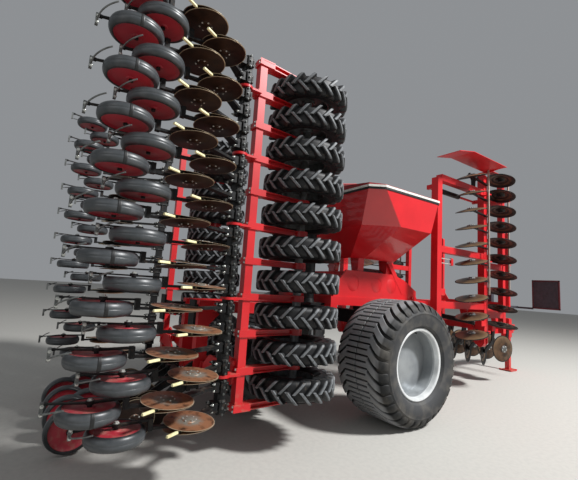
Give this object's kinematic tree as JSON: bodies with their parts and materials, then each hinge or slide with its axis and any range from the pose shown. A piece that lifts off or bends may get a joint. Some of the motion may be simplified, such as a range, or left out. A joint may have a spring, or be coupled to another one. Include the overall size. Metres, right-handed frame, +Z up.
{
  "type": "folded seed drill",
  "caption": "Towed seed drill with hopper, upright folded drill wings with packer tyres, press wheels and discs, front disc wings and drawbar.",
  "frame": {"origin": "middle of the bounding box on the ground", "axes": "+X to the machine's right, +Y forwards to the hitch, +Z up"},
  "size_m": [3.064, 8.409, 3.389],
  "materials": {
    "tyre_black": "matt",
    "press_rubber": "satin",
    "disc_steel": "rusty",
    "black_paint": "satin",
    "silver_paint": "satin",
    "grey_steel": "satin",
    "chrome_rod": "polished",
    "white_trim": "matt",
    "tarp": "matt",
    "dark_grey": "satin",
    "red_paint": "gloss"
  },
  "bodies": {
    "chassis": {"main_frame": "red_paint", "drawbar": "red_paint", "hitch_eye": "grey_steel", "axle": "black_paint", "hopper": "red_paint", "hopper_rim": "white_trim", "hopper_cover": "tarp", "fan": "grey_steel", "seed_pipes": "black_paint", "rear_frame": "red_paint", "coulters_c": "black_paint", "seed_discs_c": "disc_steel", "press_wheels_c": "press_rubber", "disc_frame_c": "red_paint", "harrow_discs_c": "disc_steel", "light_boards": "black_paint", "front_board": "dark_grey", "valve_block": "dark_grey"},
    "wheel_r": {"tyre_r": "tyre_black", "rim_r": "silver_paint"},
    "rear_wing_r": {"wing_frame_r": "red_paint", "coulters_r": "black_paint", "seed_discs_r": "disc_steel", "press_wheels_r": "press_rubber", "tines_r": "black_paint"},
    "roller_r": {"packer_tyres_r": "tyre_black", "packer_axle_r": "grey_steel"},
    "front_wing_r": {"disc_wing_r": "red_paint", "harrow_discs_r": "disc_steel", "deflector_r": "red_paint"},
    "rear_barrel_r": {"rear_barrel_r": "black_paint"},
    "rear_rod_r": {"rear_rod_r": "chrome_rod"},
    "front_barrel_r": {"front_barrel_r": "black_paint"},
    "front_rod_r": {"front_rod_r": "chrome_rod"},
    "wheel_l": {"tyre_l": "tyre_black", "rim_l": "silver_paint"},
    "rear_wing_l": {"wing_frame_l": "red_paint", "coulters_l": "black_paint", "seed_discs_l": "disc_steel", "press_wheels_l": "press_rubber", "tines_l": "black_paint"},
    "roller_l": {"packer_tyres_l": "tyre_black", "packer_axle_l": "grey_steel"},
    "front_wing_l": {"disc_wing_l": "red_paint", "harrow_discs_l": "disc_steel", "deflector_l": "red_paint"},
    "rear_barrel_l": {"rear_barrel_l": "black_paint"},
    "rear_rod_l": {"rear_rod_l": "chrome_rod"},
    "front_barrel_l": {"front_barrel_l": "black_paint"},
    "front_rod_l": {"front_rod_l": "chrome_rod"},
    "roller_c": {"packer_tyres_c": "tyre_black", "packer_axle_c": "grey_steel"},
    "jack": {"jack_leg": "red_paint"}
  },
  "joints": [
    {"name": "wheel_r_spin", "type": "hinge", "parent": "chassis", "child": "wheel_r", "pos_m": [1.12, -0.9455, 0.645], "axis": [1, 0, 0], "continuous": true},
    {"name": "rear_wing_r_fold", "type": "hinge", "parent": "chassis", "child": "rear_wing_r", "pos_m": [0.903, -2.8505, 0.636], "axis": [0, 1, 0], "range_deg": [0, 90]},
    {"name": "roller_r_spin", "type": "hinge", "parent": "rear_wing_r", "child": "roller_r", "pos_m": [1.03, -2.2875, 1.85], "axis": [0, 0, 1], "continuous": true},
    {"name": "front_wing_r_fold", "type": "hinge", "parent": "chassis", "child": "front_wing_r", "pos_m": [0.88, 1.2745, 0.7], "axis": [0, 1, 0], "range_deg": [0, 90]},
    {"name": "rear_barrel_r_tilt", "type": "hinge", "parent": "chassis", "child": "rear_barrel_r", "pos_m": [0.3, -2.7455, 1.1], "axis": [0, 1, 0], "range_deg": [0, 14.86]},
    {"name": "rear_rod_r_slide", "type": "slide", "parent": "rear_barrel_r", "child": "rear_rod_r", "axis": [0.969, 0, -0.2471], "range_m": [0, 0.37055]},
    {"name": "front_barrel_r_tilt", "type": "hinge", "parent": "chassis", "child": "front_barrel_r", "pos_m": [0.25, 1.1545, 1.05], "axis": [0, 1, 0], "range_deg": [0, 17.6]},
    {"name": "front_rod_r_slide", "type": "slide", "parent": "front_barrel_r", "child": "front_rod_r", "axis": [0.9971, 0, -0.0761], "range_m": [0, 0.34585]},
    {"name": "wheel_l_spin", "type": "hinge", "parent": "chassis", "child": "wheel_l", "pos_m": [-1.12, -0.9455, 0.645], "axis": [1, 0, 0], "continuous": true},
    {"name": "rear_wing_l_fold", "type": "hinge", "parent": "chassis", "child": "rear_wing_l", "pos_m": [-0.903, -2.8505, 0.636], "axis": [0, -1, 0], "range_deg": [0, 90]},
    {"name": "roller_l_spin", "type": "hinge", "parent": "rear_wing_l", "child": "roller_l", "pos_m": [-1.03, -2.2875, 1.85], "axis": [0, 0, 1], "continuous": true},
    {"name": "front_wing_l_fold", "type": "hinge", "parent": "chassis", "child": "front_wing_l", "pos_m": [-0.88, 1.2745, 0.7], "axis": [0, -1, 0], "range_deg": [0, 90]},
    {"name": "rear_barrel_l_tilt", "type": "hinge", "parent": "chassis", "child": "rear_barrel_l", "pos_m": [-0.3, -2.7455, 1.1], "axis": [0, -1, 0], "range_deg": [0, 14.86]},
    {"name": "rear_rod_l_slide", "type": "slide", "parent": "rear_barrel_l", "child": "rear_rod_l", "axis": [-0.969, 0, -0.2471], "range_m": [0, 0.37055]},
    {"name": "front_barrel_l_tilt", "type": "hinge", "parent": "chassis", "child": "front_barrel_l", "pos_m": [-0.25, 1.1545, 1.05], "axis": [0, -1, 0], "range_deg": [0, 17.6]},
    {"name": "front_rod_l_slide", "type": "slide", "parent": "front_barrel_l", "child": "front_rod_l", "axis": [-0.9971, 0, -0.0761], "range_m": [0, 0.34585]},
    {"name": "roller_c_spin", "type": "hinge", "parent": "chassis", "child": "roller_c", "pos_m": [0, -2.2875, 0.509], "axis": [1, 0, 0], "continuous": true},
    {"name": "jack_slide", "type": "slide", "parent": "chassis", "child": "jack", "axis": [0, 0, 1], "range_m": [0, 0.35]}
  ],
  "couplings": [
    {"joint": "rear_barrel_r_tilt", "follows": "rear_wing_r_fold", "ratio": 0.1651},
    {"joint": "rear_rod_r_slide", "follows": "rear_wing_r_fold", "m_per_rad": 0.2359},
    {"joint": "front_barrel_r_tilt", "follows": "front_wing_r_fold", "ratio": 0.1955},
    {"joint": "front_rod_r_slide", "follows": "front_wing_r_fold", "m_per_rad": 0.22018},
    {"joint": "rear_barrel_l_tilt", "follows": "rear_wing_l_fold", "ratio": 0.1651},
    {"joint": "rear_rod_l_slide", "follows": "rear_wing_l_fold", "m_per_rad": 0.2359},
    {"joint": "front_barrel_l_tilt", "follows": "front_wing_l_fold", "ratio": 0.1955},
    {"joint": "front_rod_l_slide", "follows": "front_wing_l_fold", "m_per_rad": 0.22018}
  ]
}
